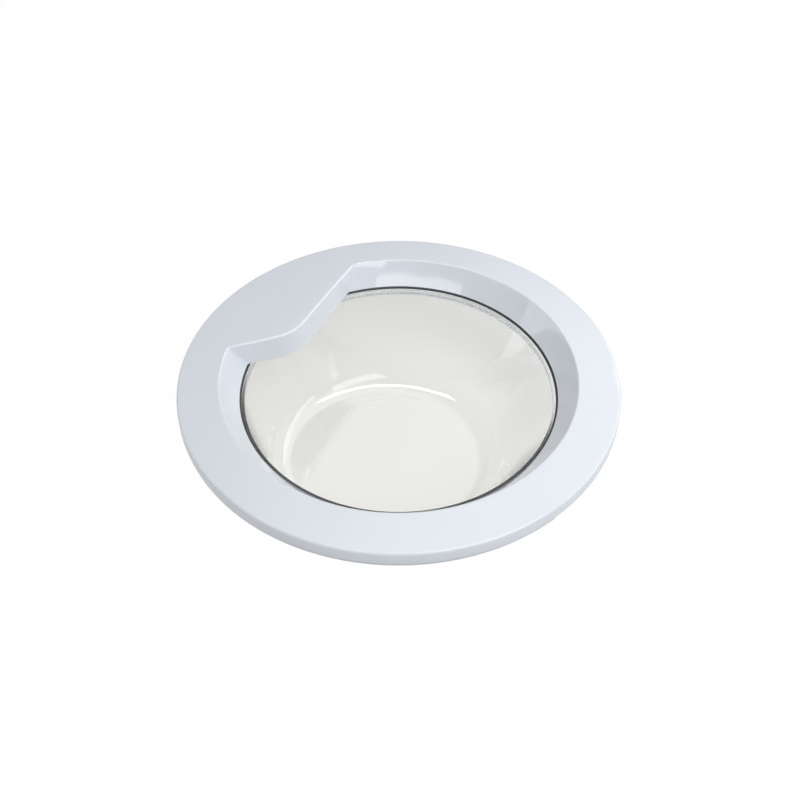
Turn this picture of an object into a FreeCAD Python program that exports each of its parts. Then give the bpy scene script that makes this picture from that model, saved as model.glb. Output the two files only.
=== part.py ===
import FreeCAD, Part
import math
import os

V = FreeCAD.Vector

# A front-loading washing machine's door, lying face up on the floor of its glass bowl.
# Millimetres. +Z points out of the front of the door, +X to the pull lobe, +Y to the machine's top.
# z = 0 is the underside of the glass bowl, and the ring's own axis is x = y = 0.

# Front trim
RIM_R = 203.0                # lower edge of the skirt
FACE_W = 39.0                # rim to the window's edge
BEVEL_W = 15.7
BEVEL_DEPTH = 22.2
FACE_CROWN = 2.9             # the window's edge stands this far above the rim's
SKIRT_H = 11.8
SKIRT_DRAFT = 0.6            # what the skirt's radius loses from its lower edge to the top
TRIM_WALL = 2.8
RIM_ROUND = 2.2
EDGE_ROUND = 2.2
CORNER_ROUND = 3.0           # inner corners where the lobe meets the bevel
LOBE_HALF_ANGLE = 31.8       # the lobe leaves the window's edge this far each side of +X
LOBE_REACH = 59.1            # window's edge to where the lobe's two sides would meet
LOBE_TIP_Y = 32.3
LOBE_TIP_ROUND = 42.0
LOBE_DRAFT = 2.5             # what the lobe's wall gains on the way down
CLAMP_RIB_T = 3.2            # rib under the lobe that holds the seal down

# Seal between the trim's lip and the glass flange
SEAL_T = 2.5
SEAL_SHOW = 2.7              # edge that shows inside the trim's lip
SEAL_EDGE_T = 1.2            # and how thick it is at its inner end
SEAL_GAP = 0.3               # seal's skirt to the flange
SEAL_SKIRT_T = 1.6
SEAL_SKIRT_H = 3.5           # how far the seal's outer edge reaches down beside the flange

# Glass bowl
GLASS_HEIGHT = 88.0          # underside of the floor to the top of the flange
GLASS_WALL = 4.5
MOUTH_SETBACK = 1.4          # seal's inner edge to the bowl's mouth
BOWL_TAPER = 39.2            # what the bowl's radius loses from the mouth to the floor
BOWL_FLOOR_SHIFT = 20.0      # the floor lies nearer the machine's top than the mouth
BOWL_CORNER_R = 24.0
BOWL_LIP_R = 2.0
FLANGE_W = 8.3
FLANGE_T = 5.5
FLANGE_CHAMFER = 1.0

# Handle tray under the lobe
TRAY_GAP = 0.4
TRAY_WALL = 2.2
TRAY_RIM_Z = 0.8             # tray's lower rim above the lobe wall's lower edge
TRAY_DEPTH = 8.0
TRAY_SCREW_INSET = 9.3       # trim's lip to the screws' circle
TRAY_SCREW_ANGLE = 12.3      # two screws, each side of +X
TRAY_SCREW_R = 1.45
TRAY_SCREW_L = 9.0
TRAY_HEAD_R = 2.9
TRAY_HEAD_H = 1.8
TRAY_BOSS_R = 3.6

# Rear frame
FRAME_WALL = 3.0
RIM_SETBACK = 0.5            # rear frame's edge inside the skirt's
FRAME_RIM_H = 3.5
FRAME_RIM_T = 6.0
FRAME_RIM_ROUND = 2.2
FRAME_SEAM = 0.3             # seam between the skirt and the rear frame's rim
STEP_GAP = 4.1               # seal to the wall that drops into the porthole
STEP_CHAMFER = 2.0
BORE_GAP = 2.8               # bowl's mouth to the rear frame's bore
SPIGOT_GAP = 0.4             # locating wall inside the skirt
SPIGOT_T = 2.2
SPIGOT_H = 4.0

# Frame screws
SCREW_COUNT = 8
SCREW_INSET = 20.0           # rim to the screws' circle
SCREW_R = 1.95
SCREW_L = 10.0
SCREW_HEAD_R = 4.0
SCREW_HEAD_H = 2.6
HEAD_CHAMFER = 0.9
SCREW_FIT = 0.05
SCREW_CLEAR = 0.25
SCREW_END_GAP = 0.5
SEAT_GAP = 0.4               # round the head in its counterbore
SEAT_DEPTH = 3.2
FRAME_BOSS_R = 6.6
FRAME_BOSS_H = 3.4
TRIM_BOSS_R = 4.8

# Hinge
HINGE_INSET = 11.0           # rim to the hinge pin's axis, which lies along Y
HINGE_DROP = 8.0             # axis below the rim's upper edge
HINGE_CUT_W = 65.0           # cut-out in the rear frame's rim
HINGE_PIN_R = 2.5
HINGE_HEAD_R = 4.0
HINGE_HEAD_T = 1.5
HINGE_HEAD_ROOM = 1.0
PIN_END = 1.4                # pins' ends past their clips
BARREL_R = 4.6
BARREL_HALF = 19.0
NECK_IN = 6.5                # inside of the swan neck, inward of the axis
NECK_DROP = 5.3              # and below it
BUSH_R = 3.5
BUSH_FLANGE_R = 4.6
BUSH_FLANGE_T = 1.0
BUSH_L = 6.2
RUN_FIT = 0.05
HINGE_SIDE_GAP = 0.3
CABINET_GAP = 4.0            # rear frame to the cabinet's front
PLATE_T = 3.0
PLATE_NEAR = 9.0             # plate's near edge, inward of the axis
PLATE_CLEAR = 2.0            # plate's far edge to the rear frame's step
PLATE_SIDE_GAP = 1.5         # plate's ends inside the cut-out
PLATE_CORNER = 3.0
PLATE_HOLE_R = 2.65
PLATE_SINK_R = 4.8
PLATE_HOLE_INSET = 8.0       # plate's ends to the holes
CHEEK_FOOT = 8.0             # bearing block's hold on the back plate
CHEEK_ROOT = 0.5             # and how deep it sinks into it
CHEEK_WALL = 3.0             # bearing block inward of the bush
HINGE_CLIP_T = 0.8
HINGE_CLIP_R = 4.6
CLIP_GROOVE = 0.6
CLIP_MOUTH = 3.0

# Latch
LATCH_OUT = 14.0             # rear frame's step to the latch pin's axis, which lies along Y
LATCH_PIN_R = 2.0
LATCH_HEAD_R = 3.4
LATCH_HEAD_T = 1.2
LATCH_CLIP_T = 0.8
LATCH_CLIP_R = 4.2
HOOK_T = 10.0
HOOK_BOSS_R = 4.6
HOOK_BOSS_GAP = 0.7          # hook's boss above the back plate
HOOK_SHANK_W = 9.0
HOOK_REACH = 40.0            # axis down to the hook's tip
HOOK_NOSE = 7.0
HOOK_NOSE_H = 12.0
HOOK_NOSE_EDGE = 3.0
HOOK_TIP_CHAMFER = 2.0
HOOK_TOE = 1.0               # the nose's slope starts this far inside the shank's edge
HOOK_STOP_GAP = 0.4          # hook's shank to the window's edge that stops it
HOOK_ROOM = 6.0              # free space on the other side, for the swing and the spring's leg
LUG_T = 3.0
LUG_MARGIN = 0.4             # lug's radius beyond the hook's boss
SPRING_WIRE_R = 0.55
SPRING_WIRE_SIDES = 8
SPRING_COIL_GAP = 0.55       # coil's inside to the pin
SPRING_TURNS = 2.5
SPRING_PITCH = 1.25
SPRING_SIDE_GAP = 0.5
SPRING_LEG_DROP = 7.5        # axis down to the leg that lies on the hook
SPRING_TOUCH = 0.05

# How far cutters run past the faces that they cut, and blocks past the dome that trims them
CUT = 1.0
HEADROOM = 8.0
NEAR = 0.01

# Radii that follow from the sizes above, from the rim inwards and out again
TOP_R = RIM_R - SKIRT_DRAFT
WINDOW_R = RIM_R - FACE_W
LIP_R = WINDOW_R - BEVEL_W
SEAL_INNER_R = LIP_R - SEAL_SHOW
MOUTH_R = SEAL_INNER_R - MOUTH_SETBACK
FLANGE_R = MOUTH_R + GLASS_WALL + FLANGE_W
SEAL_SKIRT_R = FLANGE_R + SEAL_GAP
SEAL_OUTER_R = SEAL_SKIRT_R + SEAL_SKIRT_T
STEP_INNER_R = SEAL_OUTER_R + STEP_GAP
STEP_R = STEP_INNER_R + FRAME_WALL
BORE_R = MOUTH_R + GLASS_WALL + BORE_GAP
FRAME_RIM_R = RIM_R - RIM_SETBACK
SCREW_PCD_R = RIM_R - SCREW_INSET
TRAY_PCD_R = LIP_R - TRAY_SCREW_INSET
LOBE_TIP_X = WINDOW_R - LOBE_REACH
HINGE_X = HINGE_INSET - RIM_R
LATCH_X = STEP_R + LATCH_OUT
PLATE_X0 = HINGE_X + PLATE_NEAR
PLATE_X1 = -STEP_R - PLATE_CLEAR
PLATE_L = HINGE_CUT_W - 2 * PLATE_SIDE_GAP
SPRING_COIL_R = LATCH_PIN_R + SPRING_COIL_GAP + SPRING_WIRE_R

# Levels, from the bowl's underside up
Z_FLANGE = GLASS_HEIGHT
Z_SEAT = Z_FLANGE - FLANGE_T
Z_LIP = Z_FLANGE + SEAL_T
Z_WINDOW = Z_LIP + BEVEL_DEPTH
Z_RIM = Z_WINDOW - FACE_CROWN
Z_SKIRT = Z_RIM - SKIRT_H
Z_FRAME_RIM = Z_SKIRT - FRAME_SEAM
Z_BACK = Z_FRAME_RIM - FRAME_RIM_H
Z_PLATE = Z_BACK + FRAME_WALL
Z_ROOT = Z_BACK + FRAME_WALL / 2
Z_HEAD = Z_BACK + SEAT_DEPTH
Z_BOSS = Z_PLATE + FRAME_BOSS_H
Z_CABINET = Z_BACK - CABINET_GAP
Z_TRAY = Z_LIP + TRAY_RIM_Z
Z_TRAY_TOP = Z_TRAY + TRAY_DEPTH
HINGE_Z = Z_RIM - HINGE_DROP
LATCH_Z = Z_PLATE + HOOK_BOSS_R + HOOK_BOSS_GAP

# The face is part of a shallow dome through the window's edge and the rim's
DOME_Z = (Z_WINDOW + Z_RIM) / 2 - (TOP_R ** 2 - WINDOW_R ** 2) / (2 * FACE_CROWN)
DOME_R = math.hypot(WINDOW_R, Z_WINDOW - DOME_Z)


def section(points):
    """Face in the XZ plane from (x, z) corners."""
    corners = [V(x, 0, z) for x, z in points]
    return Part.Face(Part.makePolygon(corners + [corners[0]]))


def ring(points):
    """Solid of revolution about Z from (r, z) corners."""
    return section(points).revolve(V(0, 0, 0), V(0, 0, 1), 360)


def plate_y(points, y0, y1):
    """Prism along Y from (x, z) corners."""
    plate = section(points).extrude(V(0, y1 - y0, 0))
    return plate.translated(V(0, y0, 0))


def rod_y(r, y0, y1, x, z):
    """Cylinder along Y."""
    return Part.makeCylinder(r, y1 - y0, V(x, y0, z), V(0, 1, 0))


def rod_z(r, z0, z1, x=0, y=0):
    """Cylinder along Z."""
    return Part.makeCylinder(r, z1 - z0, V(x, y, z0), V(0, 0, 1))


def box(x0, x1, y0, y1, z0, z1):
    return Part.makeBox(x1 - x0, y1 - y0, z1 - z0, V(x0, y0, z0))


def screw_spots():
    """Centres of the frame screws, the same distance each side of hinge and latch."""
    step = 360.0 / SCREW_COUNT
    spots = []
    for i in range(SCREW_COUNT):
        angle = math.radians(step * (i + 0.5))
        spots.append((SCREW_PCD_R * math.cos(angle), SCREW_PCD_R * math.sin(angle)))
    return spots


def tray_spots():
    """Centres of the handle tray's screws."""
    angle = math.radians(TRAY_SCREW_ANGLE)
    x = TRAY_PCD_R * math.cos(angle)
    y = TRAY_PCD_R * math.sin(angle)
    return [(x, y), (x, -y)]


def lobe_wire(grow, z):
    """Outline of the pull lobe at height z: two straight sides and a rounded tip.

    grow moves both sides towards the middle of the glass.
    """
    half = math.radians(LOBE_HALF_ANGLE)
    tip = V(LOBE_TIP_X, LOBE_TIP_Y, 0)
    upper = V(WINDOW_R * math.cos(half), WINDOW_R * math.sin(half), 0)
    lower = V(WINDOW_R * math.cos(half), -WINDOW_R * math.sin(half), 0)
    dir_u = (upper - tip).normalize()
    dir_l = (lower - tip).normalize()
    turn = math.acos(dir_u.dot(dir_l))
    bisector = (dir_u + dir_l).normalize()
    tip = tip - bisector * (grow / math.sin(turn / 2))
    radius = LOBE_TIP_ROUND + grow
    along = radius / math.tan(turn / 2)
    start = tip + dir_u * along
    end = tip + dir_l * along
    middle = tip + bisector * (radius / math.sin(turn / 2) - radius)
    far_u = tip + dir_u * RIM_R
    far_l = tip + dir_l * RIM_R
    back = far_u.x + RIM_R
    lift = V(0, 0, z)
    points = [far_u, start, middle, end, far_l, V(back, far_l.y, 0), V(back, far_u.y, 0)]
    p = [q + lift for q in points]
    edges = [Part.makeLine(p[0], p[1]), Part.Arc(p[1], p[2], p[3]).toShape(), Part.makeLine(p[3], p[4]),
             Part.makeLine(p[4], p[5]), Part.makeLine(p[5], p[6]), Part.makeLine(p[6], p[0])]
    return Part.Wire(edges)


def lobe_prism(grow, z0, z1):
    """The pull lobe as a solid block with a drafted wall."""
    def offset(z):
        return grow + LOBE_DRAFT * (Z_WINDOW - z) / BEVEL_DEPTH
    return Part.makeLoft([lobe_wire(offset(z0), z0), lobe_wire(offset(z1), z1)], True, True)


def window_cutter(wall):
    """The opening in the face: the bevel's cone less the pull lobe, with its wall moved back by wall."""
    slope = BEVEL_W / BEVEL_DEPTH
    shift = wall * math.sqrt(1 + slope ** 2)
    z0 = Z_LIP - 2 * CUT
    z1 = Z_WINDOW + HEADROOM
    r0 = LIP_R + shift + slope * (z0 - Z_LIP)
    r1 = LIP_R + shift + slope * (z1 - Z_LIP)
    cone = Part.makeCone(r0, r1, z1 - z0, V(0, 0, z0))
    return cone.cut(lobe_prism(-wall, z0 - CUT, z1 + CUT))


def dome_point(r, inset):
    """Point of the dome at radius r, with the dome moved in by inset."""
    return V(r, 0, DOME_Z + math.sqrt((DOME_R - inset) ** 2 - r ** 2))


def trim_block(inset, z_low):
    """The trim as a full block under its dome, with every outer face moved in by inset."""
    low_r = RIM_R - inset + SKIRT_DRAFT * (Z_SKIRT - z_low) / SKIRT_H
    crown = dome_point(0, inset)
    middle = dome_point((TOP_R - inset) / 2, inset)
    outer = dome_point(TOP_R - inset, inset)
    foot = V(low_r, 0, z_low)
    centre = V(0, 0, z_low)
    edges = [Part.Arc(crown, middle, outer).toShape(), Part.makeLine(outer, foot),
             Part.makeLine(foot, centre), Part.makeLine(centre, crown)]
    return Part.Face(Part.Wire(edges)).revolve(V(0, 0, 0), V(0, 0, 1), 360)


def trim_outside():
    """The trim's visible outside as a full block, with its edges rounded."""
    block = trim_block(0, Z_LIP)
    rim = [e for e in block.Edges if e.BoundBox.ZLength < NEAR and abs(e.BoundBox.ZMin - Z_RIM) < NEAR]
    block = block.makeFillet(RIM_ROUND, rim)
    foot = rod_z(RIM_R + HEADROOM, Z_LIP - CUT, Z_SKIRT)
    foot = foot.cut(rod_z(RIM_R - FACE_W / 2, Z_LIP - 2 * CUT, Z_SKIRT + CUT))
    block = block.cut(foot).cut(window_cutter(0))
    corners = []
    for e in block.Edges:
        c = e.CenterOfMass
        if e.BoundBox.ZLength > BEVEL_DEPTH / 2 and LIP_R < math.hypot(c.x, c.y) < WINDOW_R:
            corners.append(e)
    block = block.makeFillet(CORNER_ROUND, corners)
    edge = [e for e in block.Edges if e.BoundBox.ZMin > Z_WINDOW - FACE_CROWN / 2]
    return block.makeFillet(EDGE_ROUND, edge)


def front_trim():
    inside = trim_block(TRIM_WALL, Z_LIP - CUT).cut(window_cutter(TRIM_WALL))
    shell = trim_outside().cut(inside)
    under = trim_block(TRIM_WALL / 2, Z_LIP)
    top = Z_WINDOW + HEADROOM
    adds = []
    for x, y in screw_spots():
        adds.append(rod_z(TRIM_BOSS_R, Z_BOSS, top, x, y).common(under))
    for x, y in tray_spots():
        adds.append(rod_z(TRAY_BOSS_R, Z_TRAY_TOP, top, x, y).common(under))
    rib_r = LIP_R + CLAMP_RIB_T
    rib = ring([(LIP_R, Z_LIP), (rib_r, Z_LIP), (rib_r, top), (LIP_R, top)])
    adds.append(rib.common(under).common(lobe_prism(-TRIM_WALL / 2, Z_LIP - CUT, top + CUT)))
    shell = shell.fuse(adds)
    holes = []
    for x, y in screw_spots():
        holes.append(rod_z(SCREW_R + SCREW_FIT, Z_PLATE, Z_HEAD + SCREW_L + SCREW_END_GAP, x, y))
    z_tray = Z_TRAY_TOP - TRAY_WALL
    for x, y in tray_spots():
        holes.append(rod_z(TRAY_SCREW_R + SCREW_FIT, z_tray, z_tray + TRAY_SCREW_L + SCREW_END_GAP, x, y))
    return shell.cut(holes).removeSplitter()


def bowl_skin(thick):
    """Oblique cone from the mouth to the shifted floor, with a rounded foot, thick outside the inner face."""
    floor = GLASS_WALL - thick
    shift = BOWL_FLOOR_SHIFT * (Z_FLANGE - floor) / (Z_FLANGE - GLASS_WALL)
    top = Part.Wire(Part.makeCircle(MOUTH_R + thick, V(0, 0, Z_FLANGE)))
    low = Part.Wire(Part.makeCircle(MOUTH_R - BOWL_TAPER + thick, V(0, shift, floor)))
    skin = Part.makeLoft([low, top], True, True)
    foot = [e for e in skin.Edges if e.BoundBox.ZMax < floor + NEAR]
    return skin.makeFillet(BOWL_CORNER_R + thick, foot)


def glass_bowl():
    c = FLANGE_CHAMFER
    flange = ring([(0, Z_SEAT), (FLANGE_R - c, Z_SEAT), (FLANGE_R, Z_SEAT + c), (FLANGE_R, Z_FLANGE - c),
                   (FLANGE_R - c, Z_FLANGE), (0, Z_FLANGE)])
    glass = bowl_skin(GLASS_WALL).fuse(flange).removeSplitter().cut(bowl_skin(0))
    lip = [e for e in glass.Edges if e.BoundBox.ZMin > Z_FLANGE - NEAR
           and e.BoundBox.XMax < MOUTH_R + GLASS_WALL]
    return glass.makeFillet(BOWL_LIP_R, lip)


def glass_seal():
    z_low = Z_FLANGE - SEAL_SKIRT_H
    return ring([(SEAL_INNER_R, Z_FLANGE), (SEAL_SKIRT_R, Z_FLANGE), (SEAL_SKIRT_R, z_low),
                 (SEAL_OUTER_R, z_low), (SEAL_OUTER_R, Z_LIP), (LIP_R, Z_LIP),
                 (SEAL_INNER_R, Z_FLANGE + SEAL_EDGE_T)])


def tray_block(inset, z0, z1):
    """Space between the lobe's wall and the clamp rib, moved in by inset."""
    lobe = lobe_prism(-(TRIM_WALL + TRAY_GAP + inset), z0, z1)
    return lobe.common(rod_z(LIP_R - TRAY_GAP - inset, z0, z1))


def handle_tray():
    tray = tray_block(0, Z_TRAY, Z_TRAY_TOP).cut(tray_block(TRAY_WALL, Z_TRAY - CUT, Z_TRAY_TOP - TRAY_WALL))
    for x, y in tray_spots():
        tray = tray.cut(rod_z(TRAY_SCREW_R + SCREW_CLEAR, Z_TRAY, Z_TRAY_TOP + CUT, x, y))
    return tray


def screw(r, length, head_r, head_h, x, y, z):
    """Pan-head screw pointing up, with its head's bearing face at z."""
    low = z - head_h
    half = section([(0, low), (head_r - HEAD_CHAMFER, low), (head_r, low + HEAD_CHAMFER), (head_r, z), (r, z),
                    (r, z + length), (0, z + length)])
    return half.revolve(V(0, 0, 0), V(0, 0, 1), 360).translated(V(x, y, 0))


def handle_screws():
    z = Z_TRAY_TOP - TRAY_WALL
    return Part.makeCompound([screw(TRAY_SCREW_R, TRAY_SCREW_L, TRAY_HEAD_R, TRAY_HEAD_H, x, y, z)
                              for x, y in tray_spots()])


def frame_screws():
    return Part.makeCompound([screw(SCREW_R, SCREW_L, SCREW_HEAD_R, SCREW_HEAD_H, x, y, Z_HEAD)
                              for x, y in screw_spots()])


def frame_ring():
    """Rear frame's ring: rim, back plate, step into the porthole and seat for the glass."""
    r = FRAME_RIM_ROUND
    low = Z_SEAT - FRAME_WALL
    rim_in = FRAME_RIM_R - FRAME_RIM_T
    p = [V(FRAME_RIM_R - r, 0, Z_BACK), V(STEP_R, 0, Z_BACK), V(STEP_R, 0, low + STEP_CHAMFER),
         V(STEP_R - STEP_CHAMFER, 0, low), V(BORE_R, 0, low), V(BORE_R, 0, Z_SEAT),
         V(STEP_INNER_R, 0, Z_SEAT), V(STEP_INNER_R, 0, Z_PLATE), V(rim_in, 0, Z_PLATE),
         V(rim_in, 0, Z_FRAME_RIM), V(FRAME_RIM_R, 0, Z_FRAME_RIM), V(FRAME_RIM_R, 0, Z_BACK + r)]
    swing = r * math.sqrt(0.5)
    middle = V(FRAME_RIM_R - r + swing, 0, Z_BACK + r - swing)
    edges = [Part.makeLine(p[i], p[i + 1]) for i in range(len(p) - 1)]
    edges.append(Part.Arc(p[-1], middle, p[0]).toShape())
    return Part.Face(Part.Wire(edges)).revolve(V(0, 0, 0), V(0, 0, 1), 360)


def spigot():
    """Low wall that locates the rear frame inside the trim's skirt."""
    r = RIM_R - SKIRT_DRAFT * SPIGOT_H / SKIRT_H - TRIM_WALL - SPIGOT_GAP
    top = Z_FRAME_RIM + SPIGOT_H
    return ring([(r - SPIGOT_T, Z_ROOT), (r, Z_ROOT), (r, top), (r - SPIGOT_T, top)])


def hinge_cheek():
    """Bearing block beside the hinge barrel, on the +Y side."""
    y0 = BARREL_HALF + HINGE_SIDE_GAP + BUSH_FLANGE_T
    y1 = HINGE_CUT_W / 2 + CHEEK_FOOT
    z0 = Z_PLATE - CHEEK_ROOT
    z1 = HINGE_Z + BUSH_FLANGE_R
    block = box(-RIM_R, HINGE_X + BUSH_FLANGE_R + CHEEK_WALL, y0, y1, z0, z1)
    block = block.common(rod_z(TOP_R - TRIM_WALL - SPIGOT_GAP, z0, z1))
    bore = rod_y(BUSH_R, y0 - CUT, y0 + BUSH_L, HINGE_X, HINGE_Z)
    room = rod_y(HINGE_HEAD_R + HINGE_HEAD_ROOM, y0 + BUSH_L, y1 + CUT, HINGE_X, HINGE_Z)
    return block.cut([bore, room])


def latch_lug(y0):
    """Wall that carries one end of the latch pin."""
    half = HOOK_BOSS_R + LUG_MARGIN
    foot = box(LATCH_X - half, LATCH_X + half, y0, y0 + LUG_T, Z_ROOT, LATCH_Z)
    lug = foot.fuse(rod_y(half, y0, y0 + LUG_T, LATCH_X, LATCH_Z)).removeSplitter()
    return lug.cut(rod_y(LATCH_PIN_R + RUN_FIT, y0 - CUT, y0 + LUG_T + CUT, LATCH_X, LATCH_Z))


def lug_spots():
    """Where the two lugs start along Y: beside the hook, and past the spring."""
    near = -HOOK_T / 2 - SPRING_SIDE_GAP - LUG_T
    coil = SPRING_PITCH * SPRING_TURNS + SPRING_WIRE_R * 2
    far = HOOK_T / 2 + SPRING_SIDE_GAP * 2 + coil
    return near, far


def rear_frame():
    near, far = lug_spots()
    adds = [spigot(), latch_lug(near), latch_lug(far)]
    for x, y in screw_spots():
        adds.append(rod_z(FRAME_BOSS_R, Z_ROOT, Z_BOSS, x, y))
    frame = frame_ring().fuse(adds)
    half = HINGE_CUT_W / 2
    pocket = box(-RIM_R - CUT, 0, -half, half, Z_BACK - CUT, Z_RIM)
    cuts = [pocket.cut(rod_z(STEP_R, Z_BACK - 2 * CUT, Z_RIM + CUT))]
    for x, y in screw_spots():
        cuts.append(rod_z(SCREW_HEAD_R + SEAT_GAP, Z_BACK - CUT, Z_HEAD, x, y))
        cuts.append(rod_z(SCREW_R + SCREW_CLEAR, Z_BACK, Z_BOSS + CUT, x, y))
    shank = HOOK_SHANK_W / 2
    side = HOOK_T / 2 + SPRING_SIDE_GAP
    cuts.append(box(LATCH_X - shank - HOOK_ROOM, LATCH_X + shank + HOOK_STOP_GAP, -side,
                    side + SPRING_WIRE_R * 2 + SPRING_SIDE_GAP, Z_BACK - CUT, Z_PLATE))
    cheek = hinge_cheek()
    cheeks = [cheek, cheek.mirror(V(0, 0, 0), V(0, 1, 0))]
    return frame.cut(cuts).fuse(cheeks).removeSplitter()


def hinge_bracket():
    """Cabinet-side leaf: barrel on the pin, swan neck round the skirt's edge and a screwed plate."""
    top = Z_CABINET + PLATE_T
    neck = plate_y([(HINGE_X, HINGE_Z + BARREL_R), (PLATE_X0, HINGE_Z), (PLATE_X0 + BARREL_R, top),
                    (PLATE_X0 + BARREL_R, Z_CABINET), (PLATE_X0, Z_CABINET),
                    (HINGE_X + NECK_IN, HINGE_Z - NECK_DROP), (HINGE_X, HINGE_Z - BARREL_R)],
                   -BARREL_HALF, BARREL_HALF)
    plate = box(PLATE_X0, PLATE_X1, -PLATE_L / 2, PLATE_L / 2, Z_CABINET, top)
    corners = [e for e in plate.Edges if e.BoundBox.ZLength > PLATE_T - NEAR]
    plate = plate.makeFillet(PLATE_CORNER, corners)
    barrel = rod_y(BARREL_R, -BARREL_HALF, BARREL_HALF, HINGE_X, HINGE_Z)
    body = barrel.fuse([neck, plate]).removeSplitter()
    cuts = [rod_y(HINGE_PIN_R + RUN_FIT, -BARREL_HALF - CUT, BARREL_HALF + CUT, HINGE_X, HINGE_Z)]
    hole_x = (PLATE_X0 + PLATE_X1) / 2
    hole_y = PLATE_L / 2 - PLATE_HOLE_INSET
    sink = PLATE_SINK_R - PLATE_HOLE_R
    for y in (-hole_y, hole_y):
        cuts.append(rod_z(PLATE_HOLE_R, Z_CABINET - CUT, top + CUT, hole_x, y))
        cuts.append(Part.makeCone(PLATE_HOLE_R, PLATE_SINK_R, sink, V(hole_x, y, top - sink)))
    return body.cut(cuts)


def hinge_bush():
    """Flanged bearing pressed into the +Y cheek."""
    y0 = BARREL_HALF + HINGE_SIDE_GAP
    y1 = y0 + BUSH_FLANGE_T
    bush = rod_y(BUSH_FLANGE_R, y0, y1, HINGE_X, HINGE_Z)
    bush = bush.fuse(rod_y(BUSH_R, y1, y1 + BUSH_L, HINGE_X, HINGE_Z)).removeSplitter()
    return bush.cut(rod_y(HINGE_PIN_R + RUN_FIT, y0 - CUT, y1 + BUSH_L + CUT, HINGE_X, HINGE_Z))


def lower_hinge_bush():
    return hinge_bush().mirror(V(0, 0, 0), V(0, 1, 0))


def hinge_end():
    """Outer face of each hinge bush along Y."""
    return BARREL_HALF + HINGE_SIDE_GAP + BUSH_FLANGE_T + BUSH_L


def hinge_pin():
    y = hinge_end()
    clip = y + HINGE_SIDE_GAP
    pin = rod_y(HINGE_PIN_R, -clip - HINGE_CLIP_T - PIN_END, y + HINGE_HEAD_T, HINGE_X, HINGE_Z)
    pin = pin.fuse(rod_y(HINGE_HEAD_R, y, y + HINGE_HEAD_T, HINGE_X, HINGE_Z)).removeSplitter()
    groove = rod_y(HINGE_PIN_R + CUT, -clip - HINGE_CLIP_T, -clip, HINGE_X, HINGE_Z)
    core = rod_y(HINGE_PIN_R - CLIP_GROOVE, -clip - HINGE_CLIP_T, -clip, HINGE_X, HINGE_Z)
    return pin.cut(groove.cut(core))


def hinge_clip():
    """Open retaining clip in the pin's groove."""
    y1 = -hinge_end() - HINGE_SIDE_GAP
    y0 = y1 - HINGE_CLIP_T
    clip = rod_y(HINGE_CLIP_R, y0, y1, HINGE_X, HINGE_Z)
    hole = rod_y(HINGE_PIN_R - CLIP_GROOVE, y0 - CUT, y1 + CUT, HINGE_X, HINGE_Z)
    mouth = box(HINGE_X - CLIP_MOUTH / 2, HINGE_X + CLIP_MOUTH / 2, y0 - CUT, y1 + CUT,
                HINGE_Z - HINGE_CLIP_R - CUT, HINGE_Z)
    return clip.cut([hole, mouth])


def latch_hook():
    x0 = LATCH_X - HOOK_SHANK_W / 2
    x1 = LATCH_X + HOOK_SHANK_W / 2
    tip = LATCH_Z - HOOK_REACH
    nose = x1 + HOOK_NOSE
    nose_top = tip + HOOK_NOSE_H
    y = HOOK_T / 2
    shank = plate_y([(x0, LATCH_Z), (x0, tip + HOOK_TIP_CHAMFER), (x0 + HOOK_TIP_CHAMFER, tip),
                     (x1 - HOOK_TOE, tip), (nose, nose_top - HOOK_NOSE_EDGE), (nose, nose_top),
                     (x1, nose_top), (x1, LATCH_Z)], -y, y)
    hook = shank.fuse(rod_y(HOOK_BOSS_R, -y, y, LATCH_X, LATCH_Z)).removeSplitter()
    return hook.cut(rod_y(LATCH_PIN_R + RUN_FIT, -y - CUT, y + CUT, LATCH_X, LATCH_Z))


def latch_pin():
    near, far = lug_spots()
    end = far + LUG_T + LATCH_CLIP_T + PIN_END
    pin = rod_y(LATCH_PIN_R, near - LATCH_HEAD_T, end, LATCH_X, LATCH_Z)
    return pin.fuse(rod_y(LATCH_HEAD_R, near - LATCH_HEAD_T, near, LATCH_X, LATCH_Z)).removeSplitter()


def latch_clip():
    """Push-on retainer on the plain end of the latch pin."""
    y0 = lug_spots()[1] + LUG_T
    clip = rod_y(LATCH_CLIP_R, y0, y0 + LATCH_CLIP_T, LATCH_X, LATCH_Z)
    return clip.cut(rod_y(LATCH_PIN_R, y0 - CUT, y0 + LATCH_CLIP_T + CUT, LATCH_X, LATCH_Z))


def wire_corners(turn):
    """Corners of the spring wire's section round its middle, turned by a share of one side."""
    corners = []
    for i in range(SPRING_WIRE_SIDES):
        angle = 2 * math.pi * (i + turn) / SPRING_WIRE_SIDES
        corners.append((SPRING_WIRE_R * math.cos(angle), SPRING_WIRE_R * math.sin(angle)))
    return corners


def spring_coil():
    """The spring's coil about Z from z = 0 up, starting at +X."""
    helix = Part.makeHelix(SPRING_PITCH, SPRING_PITCH * SPRING_TURNS, SPRING_COIL_R)
    corners = [V(SPRING_COIL_R + u, 0, v) for u, v in wire_corners(0.5)]
    return Part.Wire(helix).makePipeShell([Part.makePolygon(corners + [corners[0]])], True, True)


def spring_leg(x, y, run):
    """Leg that carries on from one end of the coil along run."""
    corners = [V(x + u, y + v, LATCH_Z) for u, v in wire_corners(0.5)]
    return Part.Face(Part.makePolygon(corners + [corners[0]])).extrude(run)


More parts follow.
